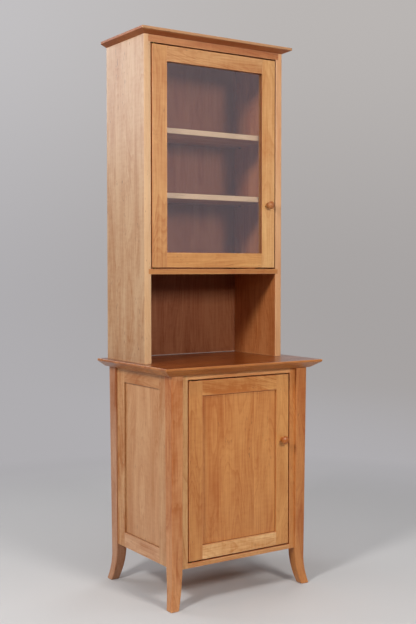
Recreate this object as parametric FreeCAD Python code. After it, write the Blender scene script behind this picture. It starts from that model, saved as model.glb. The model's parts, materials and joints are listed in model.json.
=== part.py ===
import FreeCAD, Part
import math
import os

# A step back cupboard: a glazed upper case with a niche stands on a deeper base with a counter.
# Millimetres. The origin is on the floor under the middle of the counter.
# X points right, Y points to the back and Z points up.

# Counter and crown
overall_height = 1824.0
counter_height = 762.0
counter_width = 614.0
counter_depth = 451.0
counter_thickness = 27.0
counter_edge = 7.0               # upright part of the edge, above the bevel
counter_bevel = 30.0             # run of the bevel under the edge
counter_side_overhang = 40.5     # past the tops of the legs
counter_front_overhang = 34.3
counter_back_overhang = 8.0
crown_thickness = 18.0
crown_edge = 8.0
crown_side_overhang = 22.0       # the crown's bevel runs right in to the case
crown_front_overhang = 30.0
board_round = 1.6                # rounding of the counter's and the crown's edges

# Upper case
case_side_setback = 32.8         # case's sides in from the counter's ends
case_depth = 252.0
case_setback = 13.5              # case's back face in from the counter's back edge
side_thickness = 25.2
side_round = 2.2
case_top_thickness = 22.6
fixed_shelf_thickness = 17.0
niche_height = 286.0
shelf_housing = 10.0             # ends of the fixed boards let into the sides
back_thickness = 6.0
back_rabbet = 10.0
back_lift = 1.2                  # case back's clearance above the counter
dowel_radius = 4.0
dowel_length = 30.0
dowel_margin = 45.0              # from the front and back edges of the sides

# Loose shelves and the pins that carry them
loose_shelf_thickness = 17.5
loose_shelf_lower_share = 0.3448 # tops above the fixed shelf, of the height up to the case top
loose_shelf_upper_share = 0.6371
loose_shelf_gap = 1.0            # to the sides and the back
loose_shelf_front_gap = 7.0      # behind the door
shelf_round = 1.5
pin_radius = 2.5
pin_depth = 10.0                 # in the wood
pin_reach = 8.0                  # under the shelf
pin_margin = 35.0                # from the shelf's front and back edges

# Framed work: doors, base sides and base front
frame_thickness = 20.0
door_gap = 4.4
door_round = 1.2
upper_stile = 55.0
upper_rail_top = 49.4
upper_rail_bottom = 48.5
lower_stile = 51.2
lower_rail_top = 48.2
lower_rail_bottom = 44.7
tenon_thickness = 7.0
tenon_length = 30.0
tenon_shoulder = 11.0
panel_thickness = 8.0
panel_recess = 6.0               # panel's face behind the frame's face
panel_tongue = 7.0               # panel's edge inside the frame's groove
panel_play = 1.0
glass_thickness = 3.0
glass_setback = 8.0              # wood in front of the glass
glass_rebate = 8.0
glass_play = 1.0

# Legs
leg_section = 43.0
leg_taper = 5.0                  # outer faces lean in by this much at the ankle
ankle_height = 95.0
foot_section = 30.0
foot_flare = 7.5                 # foot's outer faces past the top of the leg
leg_round = 3.0
foot_chamfer = 2.0

# Base frames between the legs
side_reveal = 8.5                # frames behind the legs' outer faces, at the top
front_reveal = 10.0
leg_housing = 8.0                # frames' edges let into the legs
side_frame_foot = 129.0          # undersides above the floor
front_frame_foot = 124.0
side_stile = 47.5                # face widths that show
side_rail = 48.5
front_stile = 21.5
front_rail_top = 16.2
front_rail_bottom = 15.4
front_tenon_length = 10.0
front_tenon_shoulder = 4.5
base_floor_thickness = 12.0
floor_housing = 4.0
base_shelf_thickness = 18.0
base_shelf_share = 0.49          # top above the base floor, of the height up to the counter
back_rail_height = 50.0
back_rail_thickness = 20.0
back_rail_tenon = 12.0
back_rail_shoulder = 6.0
base_back_setback = 10.0         # base back's outer face in front of the legs' back faces

# Knobs, turned with a tenon
knob_radius = 15.0
knob_projection = 25.0
knob_base_radius = 8.5
knob_neck_radius = 6.5
knob_tenon_radius = 5.0
knob_tenon_length = 14.0
knob_rim_round = 1.8
knob_neck_height = 8.5
knob_rim_height = 16.5
knob_flare_share = 0.34          # of the way out, where the flare under the cap bends most
knob_flare_rise_share = 0.66
upper_knob_rise = 214.6          # centre above the door's lower edge
lower_knob_rise = 352.8

# Knife hinges: a pivot near each door's left corner, set into its top and bottom edges
pivot_inset = 9.0                # from the door's left edge
pivot_setback = 6.0              # from the door's face
hinge_pin_radius = 2.0
hinge_knuckle_radius = 4.0
leaf_thickness = 2.4
leaf_width = 8.0
leaf_length = 40.0
running_clearance = 0.05
washer_clearance = 0.1
pin_end_clearance = 0.3

# Screws: countersunk, with a slot; heads and shanks are radii
hinge_screw_head = 2.7
hinge_screw_shank = 1.4
hinge_screw_length = 10.0
hinge_screw_slot = 0.7
rail_screw_head = 4.0
rail_screw_shank = 2.0
rail_screw_length = 34.0
rail_screw_slot = 1.0
rail_screw_margin = 42.0              # crown's screws in from the case top's front and back edges
counterbore_clearance = 0.5
back_screw_head = 3.4
back_screw_shank = 1.7
back_screw_length = 20.0
back_screw_slot = 0.9
hinge_screw_shares = (0.42, 0.82)     # places along the leaf
rail_screw_share = 0.5                # of the half width of the boards that they hold
back_screw_shares = (-0.8, -0.27, 0.27, 0.8)

# Door stops with magnets, and strikes in the doors
stop_width = 30.0
stop_depth = 16.0
stop_height = 22.0
stop_gap = 0.3
stop_inset = 42.0                # stop's middle in from the door's right edge
magnet_radius = 5.0
magnet_thickness = 4.0
strike_radius = 6.0
strike_thickness = 2.0

overrun = 5.0                    # cuts reach past the faces they open
same_plane = 0.01                # points this close to a plane lie on it

Vector = FreeCAD.Vector
origin = Vector(0, 0, 0)
along_x = Vector(1, 0, 0)
along_y = Vector(0, 1, 0)
along_z = Vector(0, 0, 1)

# Planes that several pieces share
counter_half = counter_width / 2
counter_front = -counter_depth / 2
counter_back = counter_depth / 2
counter_bottom = counter_height - counter_thickness
crown_bottom = overall_height - crown_thickness
case_half = counter_half - case_side_setback
case_inner = case_half - side_thickness
case_rear = counter_back - case_setback
case_front = case_rear - case_depth
case_back_face = case_rear - back_thickness
case_top_bottom = crown_bottom - case_top_thickness
fixed_shelf_bottom = counter_height + niche_height
fixed_shelf_top = fixed_shelf_bottom + fixed_shelf_thickness
base_half = counter_half - counter_side_overhang
base_front = counter_front + counter_front_overhang
base_rear = counter_back - counter_back_overhang
leg_inner_half = base_half - leg_section
leg_inner_front = base_front + leg_section
leg_inner_rear = base_rear - leg_section
side_frame_outer = base_half - side_reveal
side_frame_inner = side_frame_outer - frame_thickness
front_frame_face = base_front + front_reveal
front_frame_rear = front_frame_face + frame_thickness
front_opening_half = leg_inner_half - front_stile
base_floor_top = front_frame_foot + front_rail_bottom
base_floor_bottom = base_floor_top - base_floor_thickness
base_back_rear = base_rear - base_back_setback
base_back_face = base_back_rear - back_thickness

# Where the doors hang in their openings
upper_door = {
    "half": case_inner - door_gap,
    "face": case_front,
    "bottom": fixed_shelf_top + door_gap,
    "top": case_top_bottom - door_gap,
}
lower_door = {
    "half": front_opening_half - door_gap,
    "face": front_frame_face,
    "bottom": base_floor_top + door_gap,
    "top": counter_bottom - front_rail_top - door_gap,
}

hinge_screw = {"head": hinge_screw_head, "shank": hinge_screw_shank,
               "length": hinge_screw_length, "slot": hinge_screw_slot}
rail_screw = {"head": rail_screw_head, "shank": rail_screw_shank,
              "length": rail_screw_length, "slot": rail_screw_slot}
back_screw = {"head": back_screw_head, "shank": back_screw_shank,
              "length": back_screw_length, "slot": back_screw_slot}

nodes = {}


def block(x0, x1, y0, y1, z0, z1):
    return Part.makeBox(x1 - x0, y1 - y0, z1 - z0, Vector(x0, y0, z0))


def mirrored(shape):
    return shape.mirror(origin, along_x)


def joined(first, *others):
    return first.multiFuse(list(others)).removeSplitter()


def prism(points, direction):
    return Part.Face(Part.makePolygon(points + points[:1])).extrude(direction)


def edges_on(shape, test):
    # edges whose two ends both pass the test
    return [edge for edge in shape.Edges if all(test(vertex.Point) for vertex in edge.Vertexes)]


def level(value, plane):
    return math.isclose(value, plane, abs_tol=same_plane)


def placed(shape, x, y, z, turn=0):
    moved = shape.copy()
    moved.rotate(origin, along_z, turn)
    moved.translate(Vector(x, y, z))
    return moved


def bevelled_board(half, front, back, top, thickness, edge, side_run, front_run):
    # a board whose front and side edges are upright above and slope in to its underside
    bottom = top - thickness
    slope_top = top - edge
    below = bottom - overrun
    board = block(-half, half, front, back, bottom, top)
    front_cut = prism([Vector(-half - overrun, y, z) for y, z in (
        (front, slope_top), (front + front_run, bottom), (front + front_run, below),
        (front - overrun, below), (front - overrun, slope_top))],
        Vector(2 * (half + overrun), 0, 0))
    side_cut = prism([Vector(x, front - overrun, z) for x, z in (
        (half, slope_top), (half - side_run, bottom), (half - side_run, below),
        (half + overrun, below), (half + overrun, slope_top))],
        Vector(0, back - front + 2 * overrun, 0))
    board = board.cut(front_cut).cut(side_cut).cut(mirrored(side_cut))
    upper_edges = edges_on(board, lambda p: p.z > slope_top - same_plane)
    return board.makeFillet(board_round, upper_edges)


def screw_body(size):
    # head at the origin, point along +Z
    head_height = size["head"] - size["shank"]
    head = Part.makeCone(size["head"], size["shank"], head_height)
    shank = Part.makeCylinder(size["shank"], size["length"] - head_height, Vector(0, 0, head_height))
    return joined(head, shank)


def screw_at(size, place, direction):
    # the screw, with its slot, and the hole that it fills
    hole = screw_body(size)
    reach = size["head"] + overrun
    slot = block(-reach, reach, -size["slot"] / 2, size["slot"] / 2, -overrun, size["slot"])
    screw = hole.cut(slot)
    for shape in (hole, screw):
        shape.Placement = FreeCAD.Placement(place, FreeCAD.Rotation(along_z, direction))
    return screw, hole


def framed(width, height, stile, rail_top, rail_bottom, length, shoulder):
    # two stiles with two rails tenoned between them, centred on X, face at Y = 0, foot at Z = 0
    half = width / 2
    inner = half - stile
    tenon_front = (frame_thickness - tenon_thickness) / 2
    pieces = {}
    tenons = []
    for name, low, high in (("rail_top", height - rail_top, height), ("rail_bottom", 0, rail_bottom)):
        rail = block(-inner, inner, 0, frame_thickness, low, high)
        tenon = block(-inner - length, inner + length, tenon_front, tenon_front + tenon_thickness,
                      low + shoulder, high - shoulder)
        tenons.append(tenon)
        pieces[name] = joined(rail, tenon)
    left = block(-half, -inner, 0, frame_thickness, 0, height)
    for tenon in tenons:
        left = left.cut(tenon)
    pieces["stile_left"] = left
    pieces["stile_right"] = mirrored(left)
    return pieces


def cut_all(pieces, tool):
    for name in pieces:
        pieces[name] = pieces[name].cut(tool)


def eased(pieces, width, height):
    # round the arrises of a door's face
    envelope = block(-width / 2, width / 2, 0, frame_thickness, 0, height)
    envelope = envelope.makeFillet(door_round, edges_on(envelope, lambda p: level(p.y, 0)))
    for name in pieces:
        pieces[name] = pieces[name].common(envelope)


def add_panel(pieces, width, height, stile, rail_top, rail_bottom):
    # a flat panel held in grooves of the frame
    half = width / 2 - stile + panel_tongue
    low = rail_bottom - panel_tongue
    high = height - rail_top + panel_tongue
    rear = panel_recess + panel_thickness
    groove = block(-half - panel_play, half + panel_play, panel_recess, rear,
                   low - panel_play, high + panel_play)
    cut_all(pieces, groove)
    pieces["panel"] = block(-half, half, panel_recess, rear, low, high)


def bow(start, run, drop):
    # an arc that leaves start straight down and has moved by run once it has dropped
    radius = (run * run + drop * drop) / (2 * abs(run))
    half_turn = math.asin(drop / radius) / 2
    side = math.copysign(1, run)
    middle = start + Vector(side * radius * (1 - math.cos(half_turn)), 0, -radius * math.sin(half_turn))
    return Part.Arc(start, middle, start + Vector(run, 0, -drop)).toShape()


def leg_profile():
    # outline of a leg in XZ, outer face at X = 0 at the top, inner face towards +X
    top = counter_bottom
    ankle = Vector(leg_taper, 0, ankle_height)
    knee = Vector(leg_section, 0, front_frame_foot)
    foot_outer = Vector(-foot_flare, 0, 0)
    foot_inner = Vector(foot_section - foot_flare, 0, 0)
    outer_top = Vector(0, 0, top)
    inner_top = Vector(leg_section, 0, top)
    edges = [
        Part.makeLine(outer_top, ankle),
        bow(ankle, foot_outer.x - ankle.x, ankle_height),
        Part.makeLine(foot_outer, foot_inner),
        bow(knee, foot_inner.x - knee.x, front_frame_foot),
        Part.makeLine(knee, inner_top),
        Part.makeLine(inner_top, outer_top),
    ]
    return Part.Face(Part.Wire(Part.__sortEdges__(edges)))


def make_leg():
    # both pairs of faces have the same outline, so the foot sweeps out to its corner
    reach = leg_section + foot_flare + 2 * overrun
    sideways = leg_profile().extrude(Vector(0, reach, 0))
    sideways.translate(Vector(0, -foot_flare - overrun, 0))
    lengthways = sideways.mirror(origin, Vector(1, -1, 0))
    leg = sideways.common(lengthways)
    arrises = [edge for edge in leg.Edges
               if abs(edge.Vertexes[0].Point.z - edge.Vertexes[-1].Point.z) > leg_round]
    leg = leg.makeFillet(leg_round, arrises)
    return leg.makeChamfer(foot_chamfer, edges_on(leg, lambda p: level(p.z, 0)))


def make_knob():
    # turned about Z with its tenon below the door's face and its cap above
    tenon_end = Vector(0, 0, -knob_tenon_length)
    tenon_low = Vector(knob_tenon_radius, 0, -knob_tenon_length)
    tenon_high = Vector(knob_tenon_radius, 0, 0)
    base = Vector(knob_base_radius, 0, 0)
    neck = Vector(knob_neck_radius, 0, knob_neck_height)
    rim = Vector(knob_radius, 0, knob_rim_height)
    crest = Vector(0, 0, knob_projection)
    cap = knob_projection - knob_rim_height
    cap_radius = (knob_radius * knob_radius + cap * cap) / (2 * cap)
    half_turn = math.asin(knob_radius / cap_radius) / 2
    cap_middle = crest + Vector(cap_radius * math.sin(half_turn), 0,
                                -cap_radius * (1 - math.cos(half_turn)))
    flare_middle = Vector(neck.x + (rim.x - neck.x) * knob_flare_share, 0,
                          neck.z + (rim.z - neck.z) * knob_flare_rise_share)
    edges = [
        Part.makeLine(tenon_end, tenon_low),
        Part.makeLine(tenon_low, tenon_high),
        Part.makeLine(tenon_high, base),
        Part.makeLine(base, neck),
        Part.Arc(neck, flare_middle, rim).toShape(),
        Part.Arc(rim, cap_middle, crest).toShape(),
        Part.makeLine(crest, tenon_end),
    ]
    knob = Part.Face(Part.Wire(edges)).revolve(origin, along_z, 360)
    return knob.makeFillet(knob_rim_round, edges_on(knob, lambda p: level(p.z, knob_rim_height)))


def hinge_leaf(door, bottom):
    # a bar in the thickness of the door with a round knuckle out at the pivot
    pivot_x = pivot_inset - door["half"]
    pivot_y = door["face"] + pivot_setback
    bar_front = door["face"] + (frame_thickness - leaf_width) / 2
    top = bottom + leaf_thickness
    bar = block(pivot_x - hinge_knuckle_radius, pivot_x + leaf_length,
                bar_front, bar_front + leaf_width, bottom, top)
    web = block(pivot_x - hinge_knuckle_radius, pivot_x + hinge_knuckle_radius,
                pivot_y, bar_front + leaf_width / 2, bottom, top)
    knuckle = Part.makeCylinder(hinge_knuckle_radius, leaf_thickness, Vector(pivot_x, pivot_y, bottom))
    return joined(bar, web, knuckle)


def hinge_set(door):
    # the two hinges of a door: what the case holds, what the door holds, and the mortises for both
    pivot_x = pivot_inset - door["half"]
    pivot_y = door["face"] + pivot_setback
    screw_y = door["face"] + frame_thickness / 2
    parts = {name: [] for name in (
        "case_leaves", "pins", "washers", "case_screws", "door_leaves", "door_screws",
        "top_cuts", "bottom_cuts", "door_cuts")}
    ends = (
        (door["top"], 1, "top_cuts"),
        (door["bottom"], -1, "bottom_cuts"),
    )
    for edge, up, case_cuts in ends:
        case_face = edge + up * door_gap
        direction = Vector(0, 0, up)
        case_leaf = hinge_leaf(door, min(case_face, case_face + up * leaf_thickness))
        door_leaf = hinge_leaf(door, min(edge, edge - up * leaf_thickness))
        parts[case_cuts].append(case_leaf)
        parts["door_cuts"].append(door_leaf)
        pin_start = Vector(pivot_x, pivot_y, edge - up * (leaf_thickness - pin_end_clearance))
        pin_length = 2 * leaf_thickness + door_gap - pin_end_clearance
        pin = Part.makeCylinder(hinge_pin_radius, pin_length, pin_start, direction)
        bore = Part.makeCylinder(hinge_pin_radius + running_clearance, leaf_thickness,
                                 Vector(pivot_x, pivot_y, edge), direction * -1)
        washer_start = Vector(pivot_x, pivot_y, edge + up * washer_clearance)
        washer = Part.makeCylinder(hinge_knuckle_radius, door_gap - washer_clearance,
                                   washer_start, direction)
        case_leaf = case_leaf.cut(pin)
        door_leaf = door_leaf.cut(bore)
        for share in hinge_screw_shares:
            x = pivot_x + leaf_length * share
            screw, hole = screw_at(hinge_screw, Vector(x, screw_y, case_face), direction)
            case_leaf = case_leaf.cut(hole)
            parts["case_screws"].append(screw)
            parts[case_cuts].append(hole)
            screw, hole = screw_at(hinge_screw, Vector(x, screw_y, edge), direction * -1)
            door_leaf = door_leaf.cut(hole)
            parts["door_screws"].append(screw)
            parts["door_cuts"].append(hole)
        parts["case_leaves"].append(case_leaf)
        parts["door_leaves"].append(door_leaf)
        parts["pins"].append(pin)
        parts["washers"].append(washer.cut(pin))
    return parts


def disc(radius, thickness, x, y, z):
    # a round plate whose face looks to the front from Y
    return Part.makeCylinder(radius, thickness, Vector(x, y, z), along_y)


def stop_set(door, floor):
    # a block on the floor behind the door's latch side, its magnet, and the strike in the door
    x = door["half"] - stop_inset
    z = floor + stop_height / 2
    door_rear = door["face"] + frame_thickness
    front = door_rear + stop_gap
    stop = block(x - stop_width / 2, x + stop_width / 2, front, front + stop_depth,
                 floor, floor + stop_height)
    magnet = disc(magnet_radius, magnet_thickness, x, front, z)
    strike = disc(strike_radius, strike_thickness, x, door_rear - strike_thickness, z)
    return stop.cut(magnet), magnet, strike


def shelf_with_pins(half, front, back, top, thickness):
    # a loose shelf between two sides, and the four pins under it
    shelf = block(-half + loose_shelf_gap, half - loose_shelf_gap, front, back, top - thickness, top)
    shelf = shelf.makeFillet(shelf_round, edges_on(shelf, lambda p: level(p.y, front)))
    pins = []
    for y in (front + pin_margin, back - pin_margin):
        start = Vector(half - pin_reach, y, top - thickness - pin_radius)
        pin = Part.makeCylinder(pin_radius, pin_reach + pin_depth, start, along_x)
        pins += [pin, mirrored(pin)]
    return shelf, pins


def cut_from(shape, tools):
    for tool in tools:
        shape = shape.cut(tool)
    return shape


def build_upper_case(hinges):
    # crown, sides, fixed boards, back, loose shelves and what fastens them
    crown_half = case_half + crown_side_overhang
    crown = bevelled_board(crown_half, case_front - crown_front_overhang, case_rear, overall_height,
                           crown_thickness, crown_edge, crown_side_overhang, crown_front_overhang)
    housed_half = case_inner + shelf_housing
    top = block(-housed_half, housed_half, case_front, case_back_face, case_top_bottom, crown_bottom)
    fixed = block(-housed_half, housed_half, case_front, case_back_face,
                  fixed_shelf_bottom, fixed_shelf_top)
    rabbet = block(case_inner - overrun, case_inner + back_rabbet, case_back_face, case_rear + overrun,
                   counter_height, crown_bottom)
    side = block(case_inner, case_half, case_front, case_rear, counter_height, crown_bottom)
    side = side.makeFillet(side_round, [edge for edge in edges_on(side, lambda p: level(p.y, case_front))
                                        if level(edge.BoundBox.ZLength, crown_bottom - counter_height)])
    side = cut_from(side, [top, fixed, rabbet])
    back_half = case_inner + back_rabbet
    back = block(-back_half, back_half, case_back_face, case_rear,
                 counter_height + back_lift, crown_bottom)

    pins = []
    glazed_height = case_top_bottom - fixed_shelf_top
    for name, share in (("lower", loose_shelf_lower_share), ("upper", loose_shelf_upper_share)):
        shelf, shelf_pins = shelf_with_pins(
            case_inner, case_front + frame_thickness + loose_shelf_front_gap,
            case_back_face - loose_shelf_gap, fixed_shelf_top + glazed_height * share,
            loose_shelf_thickness)
        nodes["loose_shelf_" + name] = [shelf]
        pins += shelf_pins

    dowels = []
    for y in (case_front + dowel_margin, case_rear - dowel_margin):
        place = Vector(case_inner + side_thickness / 2, y, counter_height - dowel_length / 2)
        dowel = Part.makeCylinder(dowel_radius, dowel_length, place)
        dowels += [dowel, mirrored(dowel)]

    crown_screws = []
    for x in (-case_inner * rail_screw_share, case_inner * rail_screw_share):
        for y in (case_front + rail_screw_margin, case_back_face - rail_screw_margin):
            screw, hole = screw_at(rail_screw, Vector(x, y, case_top_bottom), along_z)
            top = top.cut(hole)
            crown = crown.cut(hole)
            crown_screws.append(screw)

    back_screws = []
    for z in ((case_top_bottom + crown_bottom) / 2, (fixed_shelf_bottom + fixed_shelf_top) / 2):
        for share in back_screw_shares:
            screw, hole = screw_at(back_screw, Vector(case_inner * share, case_rear, z), along_y * -1)
            back = back.cut(hole)
            top = top.cut(hole)
            fixed = fixed.cut(hole)
            back_screws.append(screw)

    right = cut_from(side, pins + dowels)
    left = cut_from(mirrored(side), pins + dowels)
    nodes["crown_board"] = [crown]
    nodes["case_side_left"] = [left]
    nodes["case_side_right"] = [right]
    nodes["case_top"] = [cut_from(top, hinges["top_cuts"])]
    nodes["fixed_shelf"] = [cut_from(fixed, hinges["bottom_cuts"])]
    nodes["case_back"] = [back]
    nodes["locating_dowels"] = dowels
    nodes["shelf_pins"] = pins
    nodes["rail_screws"] = crown_screws
    nodes["back_screws"] = back_screws


def build_side(name, turn):
    # a framed panel between the legs of one side; its face looks away from the cupboard
    depth = leg_inner_rear - leg_inner_front + 2 * leg_housing
    height = counter_bottom - side_frame_foot
    stile = side_stile + leg_housing
    pieces = framed(depth, height, stile, side_rail, side_rail, tenon_length, tenon_shoulder)
    add_panel(pieces, depth, height, stile, side_rail, side_rail)
    middle = (leg_inner_front + leg_inner_rear) / 2
    outer = math.copysign(side_frame_outer, turn)
    turned = {part: placed(shape, outer, middle, side_frame_foot, turn) for part, shape in pieces.items()}
    front_end, back_end = ("stile_right", "stile_left") if turn < 0 else ("stile_left", "stile_right")
    for part, shape in (
            ("stile_front", turned[front_end]), ("stile_back", turned[back_end]),
            ("rail_top", turned["rail_top"]), ("rail_bottom", turned["rail_bottom"]),
            ("panel", turned["panel"])):
        nodes[name + "_" + part] = [shape]


def build_base(hinges):
    # counter, legs, frames, floor, shelf and back
    counter = bevelled_board(counter_half, counter_front, counter_back, counter_height,
                             counter_thickness, counter_edge, counter_bevel, counter_bevel)
    counter = cut_from(counter, nodes["locating_dowels"])

    front_width = 2 * (leg_inner_half + leg_housing)
    front_height = counter_bottom - front_frame_foot
    front = framed(front_width, front_height, front_stile + leg_housing, front_rail_top,
                   front_rail_bottom, front_tenon_length, front_tenon_shoulder)
    front = {part: placed(shape, 0, front_frame_face, front_frame_foot) for part, shape in front.items()}
    front["rail_top"] = cut_from(front["rail_top"], hinges["top_cuts"])
    front["rail_bottom"] = cut_from(front["rail_bottom"], hinges["bottom_cuts"])

    tenon_half = leg_inner_half + back_rail_tenon
    rail_front = base_back_face - back_rail_thickness
    rail_bottom = counter_bottom - back_rail_height
    rail = block(-leg_inner_half, leg_inner_half, rail_front, base_back_face, rail_bottom, counter_bottom)
    rail = joined(rail, block(-tenon_half, tenon_half, rail_front + back_rail_shoulder,
                              base_back_face - back_rail_shoulder, rail_bottom + back_rail_shoulder,
                              counter_bottom - back_rail_shoulder))
    housed_half = leg_inner_half + leg_housing
    back = block(-housed_half, housed_half, base_back_face, base_back_rear,
                 base_floor_bottom, counter_bottom)

    floor_half = side_frame_inner + floor_housing
    floor = block(-floor_half, floor_half, front_frame_rear, base_back_face,
                  base_floor_bottom, base_floor_top)
    for corner in (
            block(leg_inner_half, floor_half, front_frame_rear, leg_inner_front,
                  base_floor_bottom, base_floor_top),
            block(leg_inner_half, floor_half, leg_inner_rear, base_back_face,
                  base_floor_bottom, base_floor_top)):
        floor = cut_from(floor, [corner, mirrored(corner)])

    shelf_rise = (counter_bottom - base_floor_top) * base_shelf_share
    shelf, pins = shelf_with_pins(
        side_frame_inner, leg_inner_front + loose_shelf_gap, leg_inner_rear - loose_shelf_gap,
        base_floor_top + shelf_rise, base_shelf_thickness)

    # the counter's screws come up through both rails, from a deep counterbore in the back one
    head_level = counter_bottom - front_rail_top
    front_line = front_frame_face + frame_thickness / 2
    back_line = base_back_face - back_rail_thickness / 2
    counter_screws = []
    for x in (-front_opening_half * rail_screw_share, 0, front_opening_half * rail_screw_share):
        screw, hole = screw_at(rail_screw, Vector(x, front_line, head_level), along_z)
        front["rail_top"] = front["rail_top"].cut(hole)
        counter = counter.cut(hole)
        counter_screws.append(screw)
        screw, hole = screw_at(rail_screw, Vector(x, back_line, head_level), along_z)
        counterbore = Part.makeCylinder(rail_screw_head + counterbore_clearance, head_level - rail_bottom,
                                        Vector(x, back_line, rail_bottom))
        rail = cut_from(rail, [hole, counterbore])
        counter = counter.cut(hole)
        counter_screws.append(screw)

    back_screws = []
    for z in ((rail_bottom + counter_bottom) / 2, (base_floor_bottom + base_floor_top) / 2):
        for share in back_screw_shares:
            place = Vector(leg_inner_half * share, base_back_rear, z)
            screw, hole = screw_at(back_screw, place, along_y * -1)
            back = back.cut(hole)
            rail = rail.cut(hole)
            floor = floor.cut(hole)
            back_screws.append(screw)

    build_side("side_left", -90)
    build_side("side_right", 90)
    for name in ("side_left", "side_right"):
        for part in ("_rail_bottom", "_stile_front", "_stile_back"):
            nodes[name + part] = [cut_from(nodes[name + part][0], [floor] + pins)]

    # the legs are housed for every frame that meets them
    front_left = placed(make_leg(), -base_half, base_front, 0)
    middle = Vector(0, (base_front + base_rear) / 2, 0)
    back_left = front_left.mirror(middle, along_y)
    frames = [nodes["side_left_stile_front"][0], nodes["side_left_stile_back"][0],
              front["stile_left"], back, rail]
    for name, leg in (("leg_front", front_left), ("leg_back", back_left)):
        housed = cut_from(leg, frames)
        nodes[name + "_left"] = [housed]
        nodes[name + "_right"] = [mirrored(housed)]

    for part, shape in front.items():
        nodes["front_" + part] = [shape]
    nodes["counter_top"] = [counter]
    nodes["back_rail"] = [rail]
    nodes["base_back"] = [back]
    nodes["base_floor"] = [floor]
    nodes["base_shelf"] = [shelf]
    nodes["shelf_pins"] += pins
    nodes["rail_screws"] += counter_screws
    nodes["back_screws"] += back_screws


def build_door(name, door, sizes, hinges, strike, knob_rise, glazed):
    # a framed door with its glass or panel, knob, hinge leaves and strike
    width = 2 * door["half"]
    height = door["top"] - door["bottom"]
    stile, rail_top, rail_bottom = sizes
    pieces = framed(width, height, stile, rail_top, rail_bottom, tenon_length, tenon_shoulder)
    eased(pieces, width, height)
    half = width / 2 - stile + glass_rebate
    low = rail_bottom - glass_rebate
    high = height - rail_top + glass_rebate
    strips = []
    if glazed:
        cut_all(pieces, block(-half, half, glass_setback, frame_thickness + overrun, low, high))
        glass_rear = glass_setback + glass_thickness
        pieces["pane"] = block(-half + glass_play, half - glass_play, glass_setback, glass_rear,
                               low + glass_play, high - glass_play)
        for z in (low, high - glass_rebate):
            strips.append(block(-half, half, glass_rear, frame_thickness, z, z + glass_rebate))
        upright = block(half - glass_rebate, half, glass_rear, frame_thickness,
                        low + glass_rebate, high - glass_rebate)
        strips += [upright, mirrored(upright)]
    else:
        add_panel(pieces, width, height, stile, rail_top, rail_bottom)
    pieces = {part: placed(shape, 0, door["face"], door["bottom"]) for part, shape in pieces.items()}

    knob = make_knob()
    knob.rotate(origin, along_x, 90)
    knob.translate(Vector(door["half"] - stile / 2, door["face"], door["bottom"] + knob_rise))
    pieces["stile_left"] = cut_from(pieces["stile_left"], hinges["door_cuts"])
    pieces["stile_right"] = cut_from(pieces["stile_right"], [knob, strike])

    for part in ("stile_left", "stile_right", "rail_top", "rail_bottom"):
        nodes[name + "_door_" + part] = [pieces[part]]
    if glazed:
        nodes["glass_pane"] = [pieces["pane"]]
        nodes["glazing_strips"] = [placed(strip, 0, door["face"], door["bottom"]) for strip in strips]
    else:
        nodes[name + "_door_panel"] = [pieces["panel"]]
    nodes[name + "_knob"] = [knob]
    nodes[name + "_hinge_leaves"] = hinges["door_leaves"]
    nodes[name + "_hinge_screws"] = hinges["door_screws"]
    nodes[name + "_strike"] = [strike]


upper_hinges = hinge_set(upper_door)
lower_hinges = hinge_set(lower_door)
upper_stop, upper_magnet, upper_strike = stop_set(upper_door, fixed_shelf_top)
lower_stop, lower_magnet, lower_strike = stop_set(lower_door, base_floor_top)

build_upper_case(upper_hinges)
build_base(lower_hinges)
build_door("upper", upper_door, (upper_stile, upper_rail_top, upper_rail_bottom),
           upper_hinges, upper_strike, upper_knob_rise, glazed=True)
build_door("lower", lower_door, (lower_stile, lower_rail_top, lower_rail_bottom),
           lower_hinges, lower_strike, lower_knob_rise, glazed=False)

nodes["door_stops"] = [upper_stop, lower_stop]
nodes["catch_magnets"] = [upper_magnet, lower_magnet]
nodes["hinge_case_leaves"] = upper_hinges["case_leaves"] + lower_hinges["case_leaves"]
nodes["hinge_pins"] = upper_hinges["pins"] + lower_hinges["pins"]
nodes["hinge_washers"] = upper_hinges["washers"] + lower_hinges["washers"]
nodes["hinge_case_screws"] = upper_hinges["case_screws"] + lower_hinges["case_screws"]

os.makedirs("parts", exist_ok=True)
for name, shapes in nodes.items():
    solids = [solid for shape in shapes for solid in shape.Solids]
    whole = solids[0] if len(solids) == 1 else Part.makeCompound(solids)
    whole.exportStep("parts/" + name + ".step")
    print(name, len(solids), "solid" if len(solids) == 1 else "solids", round(whole.Volume))
print(len(nodes), "nodes")
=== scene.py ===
import json
import math
import bpy
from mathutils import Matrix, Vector

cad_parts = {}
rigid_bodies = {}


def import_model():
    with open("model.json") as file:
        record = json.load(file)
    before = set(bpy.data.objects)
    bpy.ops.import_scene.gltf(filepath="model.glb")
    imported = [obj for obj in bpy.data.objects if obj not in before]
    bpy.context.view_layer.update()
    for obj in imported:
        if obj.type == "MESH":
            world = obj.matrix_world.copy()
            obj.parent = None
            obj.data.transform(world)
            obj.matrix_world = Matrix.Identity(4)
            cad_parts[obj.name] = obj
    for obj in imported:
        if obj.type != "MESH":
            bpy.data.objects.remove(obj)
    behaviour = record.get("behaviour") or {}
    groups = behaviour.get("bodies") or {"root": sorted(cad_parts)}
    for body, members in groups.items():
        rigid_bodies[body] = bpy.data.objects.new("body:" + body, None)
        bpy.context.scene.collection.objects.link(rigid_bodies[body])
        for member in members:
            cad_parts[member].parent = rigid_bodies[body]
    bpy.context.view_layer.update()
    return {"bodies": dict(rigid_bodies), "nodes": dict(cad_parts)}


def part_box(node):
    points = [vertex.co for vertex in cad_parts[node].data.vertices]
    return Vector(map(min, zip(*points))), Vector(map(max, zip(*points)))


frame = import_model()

nodes = frame["nodes"]
scene = bpy.context.scene
mmPerMetre = 1000

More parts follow.
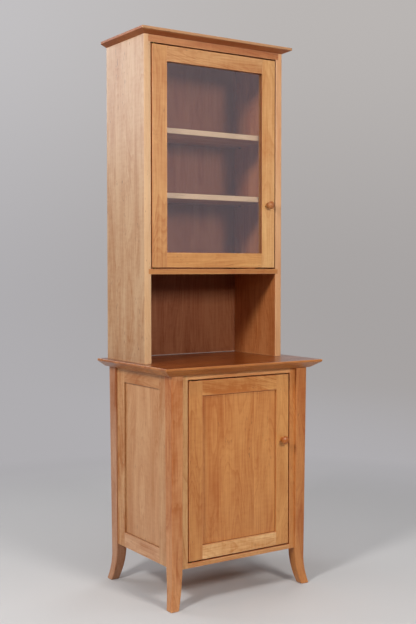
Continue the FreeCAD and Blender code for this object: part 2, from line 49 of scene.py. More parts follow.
# a fresh file's own cube, lamp and camera go
for thing in list(bpy.data.objects):
    if thing not in nodes.values() and thing not in frame["bodies"].values():
        bpy.data.objects.remove(thing)
print("frame loaded:", len(nodes), "pieces")


def hexColour(text):
    parts = [int(text[i:i + 2], 16) / 255 for i in (1, 3, 5)]
    return [p / 12.92 if p <= 0.04045 else ((p + 0.055) / 1.055) ** 2.4 for p in parts] + [1.0]


def addNode(tree, kind, inputs=None, **settings):
    node = tree.nodes.new(kind)
    for name, value in settings.items():
        setattr(node, name, value)
    for name, value in (inputs or {}).items():
        if isinstance(value, bpy.types.Node):
            value = value.outputs[0]
        if isinstance(value, bpy.types.NodeSocket):
            tree.links.new(value, node.inputs[name])
        else:
            node.inputs[name].default_value = value
    return node


def newMaterial(name):
    material = bpy.data.materials.new(name)
    material.use_nodes = True
    material.node_tree.nodes.clear()
    return material, material.node_tree


def dress(node, material):
    mesh = nodes[node].data
    mesh.materials.clear()
    mesh.materials.append(material)


# lacquered cherry, sawn into boards: late wood draws soft darker lines that arch where the saw ran
# across the rings, fibres streak along the board, and gum leaves short brown flecks
grain = {
    # each pattern's size in mm across the face, into the board and along the grain, then its detail
    "patterns": {
        "wander": ((90, 90, 460), 1),       # slow drift of the tree's heart
        "ripple": ((16, 16, 150), 2),       # small waves in the rings
        "streak": ((5, 5, 170), 3),         # bundles of fibres, drawn coarser than life so that they show
        "fibre": ((1.2, 1.2, 60), 2),       # single fibres, drawn far coarser than life for the same reason
        "blotch": ((45, 45, 210), 2),       # patches that took the finish darker
        "fleck": ((4, 4, 20), 1),
        "fleckPatch": ((55, 55, 140), 1),   # where flecks crowd together
        "curl": ((26, 26, 9), 1),           # ripples that lie across the fibres
    },
    # where each part starts to darken the wood, where it is full, and its share then
    "parts": {
        "band": (0.3, 0.7, 0.38),
        "lateLine": (0, 1, 0.3),
        "streak": (0.5, 0.72, 0.2),
        "fibre": (0.5, 0.75, 0.14),
        "blotch": (0.35, 0.65, 0.36),
        "strip": (0.5, 1, 0.12),
    },
    "curlFrom": 0.5, "curlFull": 0.75,
    "boardStep": (61, 37, 211), "stripStep": (0, 83, 977),   # mm apart in the tree, so none repeats
    "stripLuck": 7.13, "stripSlide": 900, "bandStep": 17.3,
    "heartFrom": 0.3, "heartTo": 0.7, "heartReach": 30,      # mm that the heart wanders to either side
    "bandWidth": 36, "bandDetail": 2,                        # mm of paler and darker years together
    "lateFrom": 0.25, "lateFull": 0.88, "lateEnd": 0.9,      # parts of a year's growth
    "yearPace": 0.41, "yearDetail": 1, "yearWeak": 0.35, "yearStrong": 0.65, "weakest": 0.15,
    "sapHighlightWaver": 4, "sapHighlightBlur": 2, "sapHighlightShare": 0.85,           # mm, mm, and how far the pale stripe covers
    "fleckFrom": 0.67, "fleckFull": 0.76, "fleckColour": "#5A2E15",
    "crowdFrom": 0.5, "crowdFull": 0.62, "fewest": 0.15,
    "arrisNear": 0.6, "arrisFar": 3.2,                       # mm from an arris that is worn and painted with a highlight
    "wornFrom": 0.35, "wornFull": 0.6, "wornLeast": 0.35,
    "seamNear": 0.5, "seamFar": 3.5, "seamShare": 0.75,      # mm
    "edgeNear": 0.2, "edgeFar": 0.8,                         # mm
    "levelFrom": 0.85, "levelFull": 0.98,                    # how level a face is, 1 for quite level
    "dullFrom": 0.3, "dullTo": 0.7, "dullness": 0.05, "wornShine": -0.15,
    "lateHeight": 0.5, "bump": 0.25, "bumpDepth": 0.0002,    # metres
}


def cherryFigure():
    tree = bpy.data.node_groups.new("cherryFigure", "ShaderNodeTree")
    inputs = {
        "NodeSocketVector": ("Place", "Half"),
        "NodeSocketFloat": ("Seed", "Strip", "Ring", "Pith", "Lean", "Shift", "Slope", "Figure", "Fleck",
                            "Curl", "Rough", "SapHighlightEdge", "Wearhighlight", "Seam", "Gapshade", "Topshade"),
        "NodeSocketColor": ("Tone", "Shade", "Saphighlight", "Edge"),
    }
    outputs = {"Colour": "NodeSocketColor", "Roughness": "NodeSocketFloat", "Height": "NodeSocketFloat"}
    for kind, names in inputs.items():
        for name in names:
            tree.interface.new_socket(name, in_out="INPUT", socket_type=kind)
    for name, kind in outputs.items():
        tree.interface.new_socket(name, in_out="OUTPUT", socket_type=kind)
    given = addNode(tree, "NodeGroupInput").outputs

    # a wide panel is glued up from strips, each with a place of its own in the tree
    place = addNode(tree, "ShaderNodeSeparateXYZ", {0: given["Place"]})
    strips = addNode(tree, "ShaderNodeMath", {
        0: place.outputs["X"], 1: given["Strip"]}, operation="DIVIDE")
    index = addNode(tree, "ShaderNodeMath", {0: strips}, operation="ROUND")
    stripMiddle = addNode(tree, "ShaderNodeMath", {0: index, 1: given["Strip"]}, operation="MULTIPLY")
    slanted = addNode(tree, "ShaderNodeMath", {
        0: place.outputs["Z"], 1: given["Slope"], 2: place.outputs["X"]}, operation="MULTIPLY_ADD")
    across = addNode(tree, "ShaderNodeMath", {0: slanted, 1: stripMiddle}, operation="SUBTRACT")
    diceSeed = addNode(tree, "ShaderNodeMath", {
        0: given["Seed"], 1: grain["stripLuck"], 2: index}, operation="MULTIPLY_ADD")
    dice = addNode(tree, "ShaderNodeTexWhiteNoise", {"W": diceSeed}, noise_dimensions="1D")
    luck = addNode(tree, "ShaderNodeSeparateColor", {0: dice.outputs["Color"]})
    boardStep = addNode(tree, "ShaderNodeVectorMath", {
        0: grain["boardStep"], "Scale": given["Seed"]}, operation="SCALE")
    stripStep = addNode(tree, "ShaderNodeVectorMath", {
        0: grain["stripStep"], "Scale": index}, operation="SCALE")
    jump = addNode(tree, "ShaderNodeVectorMath", {0: boardStep, 1: stripStep}, operation="ADD")
    grown = addNode(tree, "ShaderNodeCombineXYZ", {
        0: slanted, 1: place.outputs["Y"], 2: place.outputs["Z"]})
    wood = addNode(tree, "ShaderNodeVectorMath", {0: grown, 1: jump}, operation="ADD")

    noises = {}
    for name, (size, detail) in grain["patterns"].items():
        scaled = addNode(tree, "ShaderNodeVectorMath", {
            0: wood, 1: [1 / mm for mm in size]}, operation="MULTIPLY")
        noises[name] = addNode(tree, "ShaderNodeTexNoise", {
            "Vector": scaled, "Scale": 1, "Detail": detail})

    # distance from the heart, which leans and wanders along the board
    along = addNode(tree, "ShaderNodeMath", {
        0: luck.outputs[0], 1: grain["stripSlide"], 2: place.outputs["Z"]}, operation="MULTIPLY_ADD")
    leaning = addNode(tree, "ShaderNodeMath", {
        0: along, 1: given["Lean"], 2: given["Pith"]}, operation="MULTIPLY_ADD")
    drift = addNode(tree, "ShaderNodeMapRange", {
        "Value": noises["wander"], "From Min": grain["heartFrom"], "From Max": grain["heartTo"],
        "To Min": -grain["heartReach"], "To Max": grain["heartReach"]}, clamp=False)
    depth = addNode(tree, "ShaderNodeMath", {0: leaning, 1: drift}, operation="ADD")
    sideways = addNode(tree, "ShaderNodeMath", {0: across, 1: given["Shift"]}, operation="ADD")
    spot = addNode(tree, "ShaderNodeCombineXYZ", {"X": sideways, "Y": depth})
    radius = addNode(tree, "ShaderNodeVectorMath", {0: spot}, operation="LENGTH")
    wave = addNode(tree, "ShaderNodeMath", {
        0: noises["ripple"], 1: given["Ring"], 2: radius.outputs["Value"]}, operation="MULTIPLY_ADD")

    # a year's late wood darkens slowly and ends sharply, and some years are stronger than others
    years = addNode(tree, "ShaderNodeMath", {0: wave, 1: given["Ring"]}, operation="DIVIDE")
    year = addNode(tree, "ShaderNodeMath", {0: years}, operation="FRACT")
    rising = addNode(tree, "ShaderNodeMapRange", {
        "Value": year, "From Min": grain["lateFrom"], "From Max": grain["lateFull"]},
        interpolation_type="SMOOTHSTEP")
    falling = addNode(tree, "ShaderNodeMapRange", {
        "Value": year, "From Min": grain["lateEnd"], "From Max": 1, "To Min": 1, "To Max": 0},
        interpolation_type="SMOOTHSTEP")
    lateShape = addNode(tree, "ShaderNodeMath", {0: rising, 1: falling}, operation="MULTIPLY")
    yearLuck = addNode(tree, "ShaderNodeTexNoise", {
        "W": years, "Scale": grain["yearPace"], "Detail": grain["yearDetail"]}, noise_dimensions="1D")
    yearStrength = addNode(tree, "ShaderNodeMapRange", {
        "Value": yearLuck, "From Min": grain["yearWeak"], "From Max": grain["yearStrong"],
        "To Min": grain["weakest"], "To Max": 1})
    lateLine = addNode(tree, "ShaderNodeMath", {0: lateShape, 1: yearStrength}, operation="MULTIPLY")
    bandSpot = addNode(tree, "ShaderNodeMath", {
        0: given["Seed"], 1: grain["bandStep"], 2: wave}, operation="MULTIPLY_ADD")
    bands = addNode(tree, "ShaderNodeTexNoise", {
        "W": bandSpot, "Scale": 1 / grain["bandWidth"], "Detail": grain["bandDetail"]},
        noise_dimensions="1D")

    # each part's share of the way from the tone to the late wood's colour
    sources = {**noises, "band": bands, "lateLine": lateLine, "strip": luck.outputs[1]}
    darkness = addNode(tree, "ShaderNodeMapRange", {
        "Value": noises["curl"], "From Min": grain["curlFrom"], "From Max": grain["curlFull"],
        "To Min": 0, "To Max": given["Curl"]}, clamp=False)
    for name, (start, full, share) in grain["parts"].items():
        step = addNode(tree, "ShaderNodeMapRange", {
            "Value": sources[name], "From Min": start, "From Max": full,
            "To Min": 0, "To Max": share}, clamp=False)
        darkness = addNode(tree, "ShaderNodeMath", {0: darkness, 1: step}, operation="ADD")
    darkness = addNode(tree, "ShaderNodeMath", {
        0: darkness, 1: given["Figure"]}, operation="MULTIPLY", use_clamp=True)
    late = addNode(tree, "ShaderNodeMix", {
        0: 1, 6: given["Tone"], 7: given["Shade"]}, data_type="RGBA", blend_type="MULTIPLY")
    figured = addNode(tree, "ShaderNodeMix", {
        0: darkness, 6: given["Tone"], 7: late.outputs[2]}, data_type="RGBA")

    # a pale stripe along one edge, sapwood but a painted highlight on the shelves and crown, then gum
    # flecks
    sapHighlightSpot = addNode(tree, "ShaderNodeMath", {
        0: noises["ripple"], 1: grain["sapHighlightWaver"], 2: place.outputs["X"]}, operation="MULTIPLY_ADD")
    fromSapHighlight = addNode(tree, "ShaderNodeMath", {0: given["SapHighlightEdge"], 1: sapHighlightSpot}, operation="SUBTRACT")
    sapHighlightShare = addNode(tree, "ShaderNodeMapRange", {
        "Value": fromSapHighlight, "From Min": -grain["sapHighlightBlur"], "From Max": grain["sapHighlightBlur"],
        "To Min": 0, "To Max": grain["sapHighlightShare"]})
    tinted = addNode(tree, "ShaderNodeMix", {
        0: sapHighlightShare, 6: figured.outputs[2], 7: given["Saphighlight"]}, data_type="RGBA")
    fleckSpot = addNode(tree, "ShaderNodeMapRange", {
        "Value": noises["fleck"], "From Min": grain["fleckFrom"], "From Max": grain["fleckFull"]})
    fleckArea = addNode(tree, "ShaderNodeMapRange", {
        "Value": noises["fleckPatch"], "From Min": grain["crowdFrom"], "From Max": grain["crowdFull"],
        "To Min": grain["fewest"], "To Max": 1})
    fleck = addNode(tree, "ShaderNodeMath", {0: fleckSpot, 1: fleckArea}, operation="MULTIPLY")
    fleckShare = addNode(tree, "ShaderNodeMath", {0: fleck, 1: given["Fleck"]}, operation="MULTIPLY")
    darkFleckColour = hexColour(grain["fleckColour"])
    flecked = addNode(tree, "ShaderNodeMix", {
        0: fleckShare, 6: tinted.outputs[2], 7: darkFleckColour}, data_type="RGBA")

    # wear leaves the arrises smoother, and wear with a painted highlight leaves them paler: the middle one
    # of a point's three distances to the board's faces is its distance to an arris
    side = addNode(tree, "ShaderNodeVectorMath", {0: given["Place"]}, operation="ABSOLUTE")
    inside = addNode(tree, "ShaderNodeVectorMath", {0: given["Half"], 1: side}, operation="SUBTRACT")
    gap = addNode(tree, "ShaderNodeSeparateXYZ", {0: inside}).outputs
    least = addNode(tree, "ShaderNodeMath", {0: gap["X"], 1: gap["Y"]}, operation="MINIMUM")
    most = addNode(tree, "ShaderNodeMath", {0: gap["X"], 1: gap["Y"]}, operation="MAXIMUM")
    other = addNode(tree, "ShaderNodeMath", {0: most, 1: gap["Z"]}, operation="MINIMUM")
    toArris = addNode(tree, "ShaderNodeMath", {0: least, 1: other}, operation="MAXIMUM")
    nearArris = addNode(tree, "ShaderNodeMapRange", {
        "Value": toArris, "From Min": grain["arrisNear"], "From Max": grain["arrisFar"],
        "To Min": 1, "To Max": 0}, interpolation_type="SMOOTHSTEP")
    patchy = addNode(tree, "ShaderNodeMapRange", {
        "Value": noises["ripple"], "From Min": grain["wornFrom"], "From Max": grain["wornFull"],
        "To Min": grain["wornLeast"], "To Max": 1})
    rubbedHighlit = addNode(tree, "ShaderNodeMath", {0: nearArris, 1: patchy}, operation="MULTIPLY")
    wearhighlight = addNode(tree, "ShaderNodeMath", {0: rubbedHighlit, 1: given["Wearhighlight"]}, operation="MULTIPLY")
    worn = addNode(tree, "ShaderNodeMix", {
        0: wearhighlight, 6: flecked.outputs[2], 7: given["Saphighlight"]}, data_type="RGBA")

    # a panel goes darker towards its edges, and the narrow edges and ends, which face each other across
    # gaps, take a colour of painted shade
    fromSeam = addNode(tree, "ShaderNodeMath", {0: toArris, 1: given["Seam"]}, operation="SUBTRACT")
    seam = addNode(tree, "ShaderNodeMapRange", {
        "Value": fromSeam, "From Min": grain["seamNear"], "From Max": grain["seamFar"],
        "To Min": grain["seamShare"], "To Max": 0}, interpolation_type="SMOOTHSTEP")
    seamed = addNode(tree, "ShaderNodeMix", {0: seam, 6: worn.outputs[2], 7: darkFleckColour}, data_type="RGBA")
    toEdge = addNode(tree, "ShaderNodeMath", {0: gap["X"], 1: gap["Z"]}, operation="MINIMUM")
    gapshade = addNode(tree, "ShaderNodeMapRange", {
        "Value": toEdge, "From Min": grain["edgeNear"], "From Max": grain["edgeFar"],
        "To Min": given["Gapshade"], "To Max": 0})
    gapShaded = addNode(tree, "ShaderNodeMix", {
        0: gapshade, 6: seamed.outputs[2], 7: given["Edge"]}, data_type="RGBA")

    # painted shade: faces that look up are multiplied by the shade colour, so a worktop's top reads darker
    facing = addNode(tree, "ShaderNodeNewGeometry")
    upward = addNode(tree, "ShaderNodeSeparateXYZ", {0: facing.outputs["Normal"]})
    topshade = addNode(tree, "ShaderNodeMapRange", {
        "Value": upward.outputs["Z"], "From Min": grain["levelFrom"], "From Max": grain["levelFull"],
        "To Min": 0, "To Max": given["Topshade"]})
    colour = addNode(tree, "ShaderNodeMix", {
        0: topshade, 6: gapShaded.outputs[2], 7: given["Shade"]}, data_type="RGBA", blend_type="MULTIPLY")

    # open fibres are a little duller than the hard late wood, and stand a hair lower
    dull = addNode(tree, "ShaderNodeMapRange", {
        "Value": noises["fibre"], "From Min": grain["dullFrom"], "From Max": grain["dullTo"],
        "To Min": -grain["dullness"], "To Max": grain["dullness"]})
    change = addNode(tree, "ShaderNodeMath", {
        0: wearhighlight, 1: grain["wornShine"], 2: dull}, operation="MULTIPLY_ADD")
    rough = addNode(tree, "ShaderNodeMath", {0: given["Rough"], 1: change}, operation="ADD")
    height = addNode(tree, "ShaderNodeMath", {
        0: lateLine, 1: grain["lateHeight"], 2: noises["fibre"]}, operation="MULTIPLY_ADD")
    addNode(tree, "NodeGroupOutput", {
        "Colour": colour.outputs[2], "Roughness": rough, "Height": height})
    return tree


cherry = cherryFigure()

# what a board has unless its own line says otherwise; sizes in mm
plainBoard = {
    "axes": "xyz",                           # across the face, into the board and along the grain
    "tone": "#C68F5F", "shade": "#D1A774",   # late wood is the tone times the shade
    "strip": 4000,                           # width of the glued strips; far wider than a board for one
    "ring": 7,                               # a year's growth, drawn wider than the real 2 to 4 to show
    "pith": 95, "lean": 0.05, "shift": 20,   # the heart's depth under the face, its lean and sideways place
    "slope": 0,                              # how far the grain runs aslant
    "figure": 1.0, "fleck": 0.5, "curl": 0.08, "wearhighlight": 0.1,
    "seam": -100,                            # a panel darkens that far in from its edges
    "gapshade": 0, "edge": "#D07A42",           # how far the narrow edges and ends go to that colour, painted shade for the gaps
    "topshade": 0,                              # how much painted shade darkens the upper face
    "sapHighlightWidth": -1000, "saphighlight": "#E6CBA2",     # pale stripe at one edge where a width is given, a painted highlight on shelves and crown; worn arrises, partly a painted highlight, take it too
    "rough": 0.45, "spec": 0.5, "ior": 1.5,
    "coat": 0.12, "coatRough": 0.25, "coatIor": 1.5,
}


def cherryBoard(node, seed, board):
    look = {**plainBoard, **board}
    material, tree = newMaterial("lacqueredCherry_" + node)
    low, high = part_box(node)
    middle = (low + high) / 2
    halfSize = (high - low) / 2 * mmPerMetre
    order = ["xyz".index(letter) for letter in look["axes"]]
    coords = addNode(tree, "ShaderNodeTexCoord")
    split = addNode(tree, "ShaderNodeSeparateXYZ", {0: coords.outputs["Object"]})
    turned = addNode(tree, "ShaderNodeCombineXYZ", {
        i: split.outputs[axis] for i, axis in enumerate(order)})
    centred = addNode(tree, "ShaderNodeVectorMath", {
        0: turned, 1: [middle[axis] for axis in order]}, operation="SUBTRACT")
    inMm = addNode(tree, "ShaderNodeVectorMath", {0: centred, "Scale": mmPerMetre}, operation="SCALE")
    given = {"Place": inMm, "Half": [halfSize[axis] for axis in order], "Seed": seed,
             "SapHighlightEdge": look["sapHighlightWidth"] - halfSize[order[0]]}
    for name in ("strip", "ring", "pith", "lean", "shift", "slope", "figure", "fleck", "curl", "rough",
                 "wearhighlight", "seam", "gapshade", "topshade"):
        given[name.capitalize()] = look[name]
    for name in ("tone", "shade", "saphighlight", "edge"):
        given[name.capitalize()] = hexColour(look[name])
    figure = addNode(tree, "ShaderNodeGroup", given, node_tree=cherry)
    bump = addNode(tree, "ShaderNodeBump", {
        "Strength": grain["bump"], "Distance": grain["bumpDepth"], "Height": figure.outputs["Height"]})
    shader = addNode(tree, "ShaderNodeBsdfPrincipled", {
        "Base Color": figure.outputs["Colour"], "Roughness": figure.outputs["Roughness"], "Normal": bump,
        "IOR": look["ior"], "Specular IOR Level": look["spec"], "Coat Weight": look["coat"],
        "Coat Roughness": look["coatRough"], "Coat IOR": look["coatIor"]})
    addNode(tree, "ShaderNodeOutputMaterial", {"Surface": shader})
    dress(node, material)


upright = {"axes": "xyz"}
sideUpright = {"axes": "yxz"}
level = {"axes": "yzx"}
frontRail = {"axes": "zyx"}
sideRail = {"axes": "zxy"}

# the shelves' pale front edge is a painted highlight
shelf = {**level, "strip": 110, "sapHighlightWidth": 7, "saphighlight": "#DCBC92"}
# the case sides' arrises take more wear and painted highlight
caseSide = {**sideUpright, "strip": 128, "sapHighlightWidth": 2.5, "saphighlight": "#D9AE80", "wearhighlight": 0.3}
leg = {**upright, "wearhighlight": 0}
knob = {"axes": "xzy", "ring": 3, "pith": 5, "lean": 0, "shift": 2, "wearhighlight": 0}

caseBoards = {
    # the crown's pale front edge is a painted highlight
    "crown_board": {**level, "tone": "#A5643A", "sapHighlightWidth": 5, "saphighlight": "#B68861",
                    "rough": 0.55, "spec": 0.3},
    "case_side_left": {**caseSide, "tone": "#C29C77", "fleck": 1, "curl": 0.1},
    "case_side_right": {**caseSide, "tone": "#C98450"},
    "case_top": {**level, "tone": "#B77A47"},
    "fixed_shelf": {**level, "tone": "#BA7D3F"},
    "case_back": {**upright, "strip": 110, "tone": "#8F5838", "rough": 0.55, "spec": 0.25, "coat": 0},
    "loose_shelf_upper": {**shelf, "tone": "#B98254"},
    "loose_shelf_lower": {**shelf, "tone": "#B98254"},
    # the counter's upper face takes painted shade
    "counter_top": {**level, "strip": 150, "tone": "#BC783C", "shade": "#B99468", "topshade": 0.95,
                    "saphighlight": "#CB9060", "wearhighlight": 0.3, "rough": 0.3, "spec": 0.45, "coat": 0.2,
                    "coatRough": 0.08},
}
baseBoards = {
    "base_back": {**upright, "strip": 110, "tone": "#A8683F"},
    "back_rail": {**frontRail, "tone": "#C38B5C"},
    "base_floor": {**level, "strip": 110, "tone": "#C38B5C"},
    "base_shelf": {**shelf, "tone": "#B98254"},
    "door_stops": {**frontRail, "tone": "#C38B5C"},
    # the front frame's narrow edges take painted shade for the door gaps
    "front_stile_left": {**upright, "gapshade": 0.5, "tone": "#D8A770"},
    "front_stile_right": {**upright, "gapshade": 0.8, "tone": "#CD8B4C"},
    # the top rail's paler tone is painted light, offsetting the shade under the counter's overhang
    "front_rail_top": {**frontRail, "gapshade": 0.75, "tone": "#E7AD72"},
    "front_rail_bottom": {**frontRail, "gapshade": 0.75, "edge": "#B4592A", "tone": "#DAA66E"},
    "leg_front_left": {**leg, "tone": "#D19562"},
    "leg_front_right": {**leg, "tone": "#C68348"},
    "leg_back_left": {**leg, "tone": "#C08F6E"},
    "leg_back_right": {**leg, "tone": "#C08F6E"},
}
sideBoards = {
    "stile_front": {**sideUpright, "tone": "#CD9E72"},
    "stile_back": {**sideUpright, "figure": 1.4, "tone": "#D3A475"},
    "rail_top": {**sideRail, "tone": "#CA9767"},
    "rail_bottom": {**sideRail, "tone": "#D2A179"},
    "panel": {**sideUpright, "figure": 0.8, "strip": 95, "wearhighlight": 0, "seam": 7, "tone": "#D09F73"},
}
for side in ("left", "right"):
    for name, board in sideBoards.items():
        baseBoards["side_%s_%s" % (side, name)] = board
doorBoards = {
    # the doors' narrow edges take painted shade for the gaps round them
    "upper_door_stile_left": {**upright, "gapshade": 0.8, "figure": 1.15, "tone": "#C9945A"},
    "upper_door_stile_right": {**upright, "gapshade": 0.8, "edge": "#8E4A26", "figure": 0.85,
                               "tone": "#D8A86D"},
    "upper_door_rail_top": {**frontRail, "gapshade": 0.75, "figure": 1.2, "tone": "#C99762"},
    "upper_door_rail_bottom": {**frontRail, "gapshade": 0.75, "tone": "#D09959"},
    "glazing_strips": {**upright, "tone": "#C68F5F"},
    "lower_door_stile_left": {**upright, "gapshade": 0.8, "tone": "#CB8D4F"},
    "lower_door_stile_right": {**upright, "gapshade": 0.3, "figure": 0.75, "tone": "#D49757"},
    "lower_door_rail_top": {**frontRail, "gapshade": 0.8, "figure": 1.5, "tone": "#DCA15F", "slope": 0.16},
    "lower_door_rail_bottom": {**frontRail, "gapshade": 0.3, "tone": "#EEC28B", "curl": 0.14},
    "lower_door_panel": {**upright, "figure": 0.9, "strip": 118, "tone": "#D09051", "wearhighlight": 0, "seam": 7},
    "upper_knob": {**knob, "tone": "#B87C43"},
    "lower_knob": {**knob, "tone": "#B46A25"},
}
dowel = {"tone": "#D8B384", "ring": 2, "fleck": 0}

seed = 0
for boards in (caseBoards, baseBoards, doorBoards, {"locating_dowels": dowel}):
    for node, board in boards.items():
        seed += 1
        cherryBoard(node, seed, board)
print("boards and dowels dressed:", seed)


# float glass: clear, flat and slightly grey, so it gives a sharp faint reflection and a thin veil
glass = {"body": "#F2F3F6", "through": "#EFF0F3", "rough": 0.0, "ior": 1.5}


def floatGlass():
    material, tree = newMaterial("floatGlass")
    shader = addNode(tree, "ShaderNodeBsdfPrincipled", {
        "Base Color": hexColour(glass["body"]), "Roughness": glass["rough"], "IOR": glass["ior"],
        "Transmission Weight": 1.0})
    clear = addNode(tree, "ShaderNodeBsdfTransparent", {"Color": hexColour(glass["through"])})
    path = addNode(tree, "ShaderNodeLightPath").outputs
    # light from the lamps and light from the shelves both pass straight through the pane
    inside = addNode(tree, "ShaderNodeMixShader", {0: path["Is Diffuse Ray"], 1: shader, 2: clear})
    mixed = addNode(tree, "ShaderNodeMixShader", {0: path["Is Shadow Ray"], 1: inside, 2: clear})
    addNode(tree, "ShaderNodeOutputMaterial", {"Surface": mixed})
    return material


dress("glass_pane", floatGlass())

# turned or stamped metal: fine marks of the tool break up the shine, and wider stains dull the colour
tooling = {"markDetail": 3, "stainDetail": 2, "stainWidth": 9,   # stains are that many marks wide
           "roughSpread": 0.1, "bump": 0.2, "bumpDepth": 0.0001}
metals = {
    # brass darker than its own colour: partly an antique finish, partly painted shade for the hinges in the
    # door gaps
    "antiqueBrass": {
        "colour": "#7E6436", "worn": "#564223", "rough": 0.34, "marks": 0.6,   # marks in mm
        "nodes": ("hinge_case_leaves", "hinge_pins", "hinge_washers", "upper_hinge_leaves",
                  "lower_hinge_leaves", "shelf_pins")},
    "zincPlatedSteel": {
        "colour": "#B4B6B9", "worn": "#8E9094", "rough": 0.38, "marks": 0.5,
        "nodes": ("rail_screws", "back_screws", "hinge_case_screws", "upper_hinge_screws",
                  "lower_hinge_screws", "upper_strike", "lower_strike")},
    "nickelPlatedMagnet": {
        "colour": "#9A9A9C", "worn": "#77777A", "rough": 0.28, "marks": 0.8,
        "nodes": ("catch_magnets",)},
}
for name, metal in metals.items():
    material, tree = newMaterial(name)
    coords = addNode(tree, "ShaderNodeTexCoord")
    marksPerMetre = mmPerMetre / metal["marks"]
    marks = addNode(tree, "ShaderNodeTexNoise", {
        "Vector": coords.outputs["Object"], "Scale": marksPerMetre, "Detail": tooling["markDetail"]})
    stain = addNode(tree, "ShaderNodeTexNoise", {
        "Vector": coords.outputs["Object"], "Scale": marksPerMetre / tooling["stainWidth"],
        "Detail": tooling["stainDetail"]})
    colour = addNode(tree, "ShaderNodeMix", {
        0: stain, 6: hexColour(metal["colour"]), 7: hexColour(metal["worn"])}, data_type="RGBA")
    rough = addNode(tree, "ShaderNodeMapRange", {
        "Value": marks, "To Min": metal["rough"] - tooling["roughSpread"],
        "To Max": metal["rough"] + tooling["roughSpread"]})
    bump = addNode(tree, "ShaderNodeBump", {
        "Strength": tooling["bump"], "Distance": tooling["bumpDepth"], "Height": marks})
    shader = addNode(tree, "ShaderNodeBsdfPrincipled", {
        "Base Color": colour.outputs[2], "Metallic": 1.0, "Roughness": rough, "Normal": bump})
    addNode(tree, "ShaderNodeOutputMaterial", {"Surface": shader})
    for node in metal["nodes"]:
        dress(node, material)
print("glass and metal dressed")


# seamless paper: a matt sweep all round that takes the cupboard's shadow and fades to an even grey
studio = {
    "floorRadius": 5.6, "sweepRadius": 1.6, "wallHeight": 5.0,     # metres, as all the distances here
    "segments": 96, "floorRings": 8, "sweepSteps": 14,
    "paper": "#CBCBCD", "rough": 0.9, "spec": 0.1,
    "dark": "#2C2C2E", "darkFrom": 1.9, "darkTo": 2.8,             # far out little light comes back
    "greyLow": "#AFADB0", "greyHigh": "#C3C1C3", "lowAt": 0.5, "highAt": 4.0,
    "greyRight": "#F3F0EB", "rightFrom": 1.4, "rightTo": 5.0,
    "fadeFrom": 1.2, "fadeTo": 2.4,
}


def paperMesh():
    floorRadius, sweepRadius = studio["floorRadius"], studio["sweepRadius"]
    profile = [(floorRadius * i / studio["floorRings"], 0.0) for i in range(1, studio["floorRings"] + 1)]
    for i in range(1, studio["sweepSteps"] + 1):
        turn = math.pi / 2 * i / studio["sweepSteps"]
        profile.append((floorRadius + sweepRadius * math.sin(turn), sweepRadius * (1 - math.cos(turn))))
    profile.append((floorRadius + sweepRadius, studio["wallHeight"]))
    count = studio["segments"]
    points = [(0.0, 0.0, 0.0)]
    faces = []
    for ring, (r, z) in enumerate(profile):
        for i in range(count):
            turn = 2 * math.pi * i / count
            points.append((r * math.cos(turn), r * math.sin(turn), z))
        for i in range(count):
            a = 1 + ring * count + i
            b = 1 + ring * count + (i + 1) % count
            faces.append((0, a, b) if ring == 0 else (a - count, a, b, b - count))
    mesh = bpy.data.meshes.new("paperSweep")
    mesh.from_pydata(points, [], faces)
    mesh.polygons.foreach_set("use_smooth", [True] * len(faces))
    return mesh


def seamlessPaper():
    material, tree = newMaterial("seamlessPaper")
    coords = addNode(tree, "ShaderNodeTexCoord")
    reach = addNode(tree, "ShaderNodeVectorMath", {0: coords.outputs["Object"]}, operation="LENGTH")
    darkShare = addNode(tree, "ShaderNodeMapRange", {
        "Value": reach.outputs["Value"], "From Min": studio["darkFrom"], "From Max": studio["darkTo"]},
        interpolation_type="SMOOTHSTEP")
    paper = addNode(tree, "ShaderNodeMix", {
        0: darkShare, 6: hexColour(studio["paper"]), 7: hexColour(studio["dark"])}, data_type="RGBA")
    matt = addNode(tree, "ShaderNodeBsdfPrincipled", {
        "Base Color": paper.outputs[2], "Roughness": studio["rough"], "Specular IOR Level": studio["spec"]})

    # the even grey grows paler upwards and a little warmer to the right
    spot = addNode(tree, "ShaderNodeSeparateXYZ", {0: coords.outputs["Object"]})
    rise = addNode(tree, "ShaderNodeMapRange", {
        "Value": spot.outputs["Z"], "From Min": studio["lowAt"], "From Max": studio["highAt"]},
        interpolation_type="SMOOTHSTEP")
    upGrey = addNode(tree, "ShaderNodeMix", {
        0: rise, 6: hexColour(studio["greyLow"]), 7: hexColour(studio["greyHigh"])}, data_type="RGBA")
    rightward = addNode(tree, "ShaderNodeMapRange", {
        "Value": spot.outputs["X"], "From Min": studio["rightFrom"], "From Max": studio["rightTo"]},
        interpolation_type="SMOOTHSTEP")
    grey = addNode(tree, "ShaderNodeMix", {
        0: rightward, 6: upGrey.outputs[2], 7: hexColour(studio["greyRight"])},
        data_type="RGBA", blend_type="MULTIPLY")
    even = addNode(tree, "ShaderNodeEmission", {"Color": grey.outputs[2], "Strength": 1.0})

    # only what the camera sees, straight or in gloss and glass, fades to the even grey
    fade = addNode(tree, "ShaderNodeMapRange", {
        "Value": reach.outputs["Value"], "From Min": studio["fadeFrom"], "From Max": studio["fadeTo"]},
        interpolation_type="SMOOTHSTEP")
    path = addNode(tree, "ShaderNodeLightPath").outputs
    direct = addNode(tree, "ShaderNodeMath", {
        0: path["Is Camera Ray"], 1: path["Is Glossy Ray"]}, operation="ADD")
    seen = addNode(tree, "ShaderNodeMath", {
        0: direct, 1: path["Is Transmission Ray"]}, operation="ADD", use_clamp=True)
    share = addNode(tree, "ShaderNodeMath", {0: seen, 1: fade}, operation="MULTIPLY")
    mixed = addNode(tree, "ShaderNodeMixShader", {0: share, 1: matt, 2: even})
    addNode(tree, "ShaderNodeOutputMaterial", {"Surface": mixed})
    return material


sweepMesh = paperMesh()
sweepMesh.materials.append(seamlessPaper())
sweep = bpy.data.objects.new("paperSweep", sweepMesh)
scene.collection.objects.link(sweep)
print("paper laid:", len(sweepMesh.polygons), "faces")

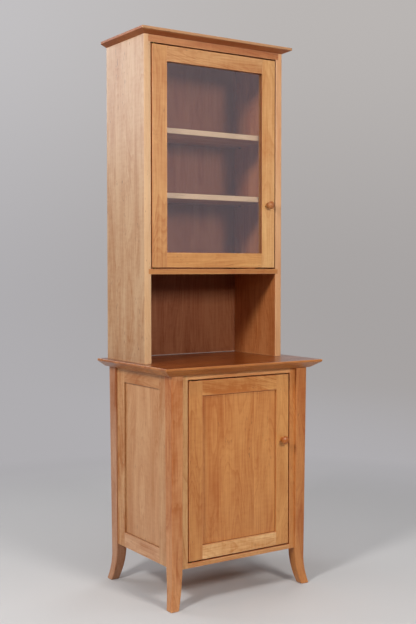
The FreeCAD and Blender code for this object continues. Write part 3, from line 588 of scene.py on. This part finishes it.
# softboxes round the cupboard, all aimed at its middle: turn runs from straight in front to the right
# and rise from the level, both in degrees, and away is in metres
lampAim = Vector((0, 0, 1.0))
lamps = {
    "frontSoftbox": {"turn": 2, "rise": 19, "away": 2.54, "size": (0.5, 0.55),
                     "watts": 36.5, "colour": "#FFFCF7"},
    "leftSoftbox": {"turn": -67, "rise": 26, "away": 2.9, "size": (0.45, 0.45),
                    "watts": 50.5, "colour": "#FFFCF7"},
    "leftBank": {"turn": -99, "rise": 4, "away": 3.0, "size": (1.3, 1.3),
                 "watts": 11, "colour": "#FFFEFC"},
    "rightSoftbox": {"turn": 54, "rise": 14, "away": 3.0, "size": (1.0, 1.0),
                     "watts": 6, "colour": "#FFFCF7"},
    "rearLeftBank": {"turn": -146, "rise": 24, "away": 3.6, "size": (1.8, 1.4),
                     "watts": 31, "colour": "#FDFDFF"},
    "rearRightBank": {"turn": 122, "rise": 34, "away": 3.6, "size": (1.6, 1.6),
                      "watts": 21, "colour": "#FFFDFC"},
    "backBank": {"turn": 176, "rise": 32, "away": 3.6, "size": (1.6, 1.6),
                 "watts": 13, "colour": "#FFFDFC"},
    "topSoftbox": {"turn": 0, "rise": 88, "away": 3.2, "size": (2.4, 2.4),
                   "watts": 44, "colour": "#FFFFFF"},
    "glassCard": {"turn": 34, "rise": 13, "away": 3.5, "size": (0.8, 1.45),   # the veil on the pane
                  "watts": 2.3, "colour": "#FFE8FA"},
}
for name, lamp in lamps.items():
    light = bpy.data.lights.new(name, "AREA")
    light.shape = "RECTANGLE"
    light.size, light.size_y = lamp["size"]
    light.energy = lamp["watts"]
    light.color = hexColour(lamp["colour"])[:3]
    turn, rise = math.radians(lamp["turn"]), math.radians(lamp["rise"])
    toLamp = Vector((math.sin(turn) * math.cos(rise), -math.cos(turn) * math.cos(rise), math.sin(rise)))
    holder = bpy.data.objects.new(name, light)
    holder.location = lampAim + lamp["away"] * toLamp
    holder.rotation_euler = (-toLamp).to_track_quat("-Z", "Y").to_euler()
    holder.visible_camera = False
    scene.collection.objects.link(holder)

room = {"colour": "#EDEEF0", "strength": 0.012}
world = bpy.data.worlds.new("studioRoom")
world.use_nodes = True
world.node_tree.nodes.clear()
sky = addNode(world.node_tree, "ShaderNodeBackground", {
    "Color": hexColour(room["colour"]), "Strength": room["strength"]})
addNode(world.node_tree, "ShaderNodeOutputWorld", {"Surface": sky})
scene.world = world
print("studio lit:", len(lamps), "lamps")

# the picture is 416 by 624, and the focal length in its pixels was solved from the cupboard's own edges
shot = {"place": (-1.8372, -2.7598, 1.0657), "yaw": 33.574, "pitch": -2.519,   # metres and degrees
        "focalPixels": 983.539, "longSide": 624, "sensor": 36.0}


def setCamera():
    camera = bpy.data.cameras.new("photoCamera")
    camera.sensor_width = shot["sensor"]
    camera.lens = shot["focalPixels"] / shot["longSide"] * shot["sensor"]
    holder = bpy.data.objects.new("photoCamera", camera)
    yaw, pitch = math.radians(shot["yaw"]), math.radians(shot["pitch"])
    ahead = Vector((math.sin(yaw) * math.cos(pitch), math.cos(yaw) * math.cos(pitch), math.sin(pitch)))
    holder.location = shot["place"]
    holder.rotation_euler = ahead.to_track_quat("-Z", "Y").to_euler()
    scene.collection.objects.link(holder)
    scene.camera = holder


setCamera()
scene.view_settings.view_transform = "Standard"
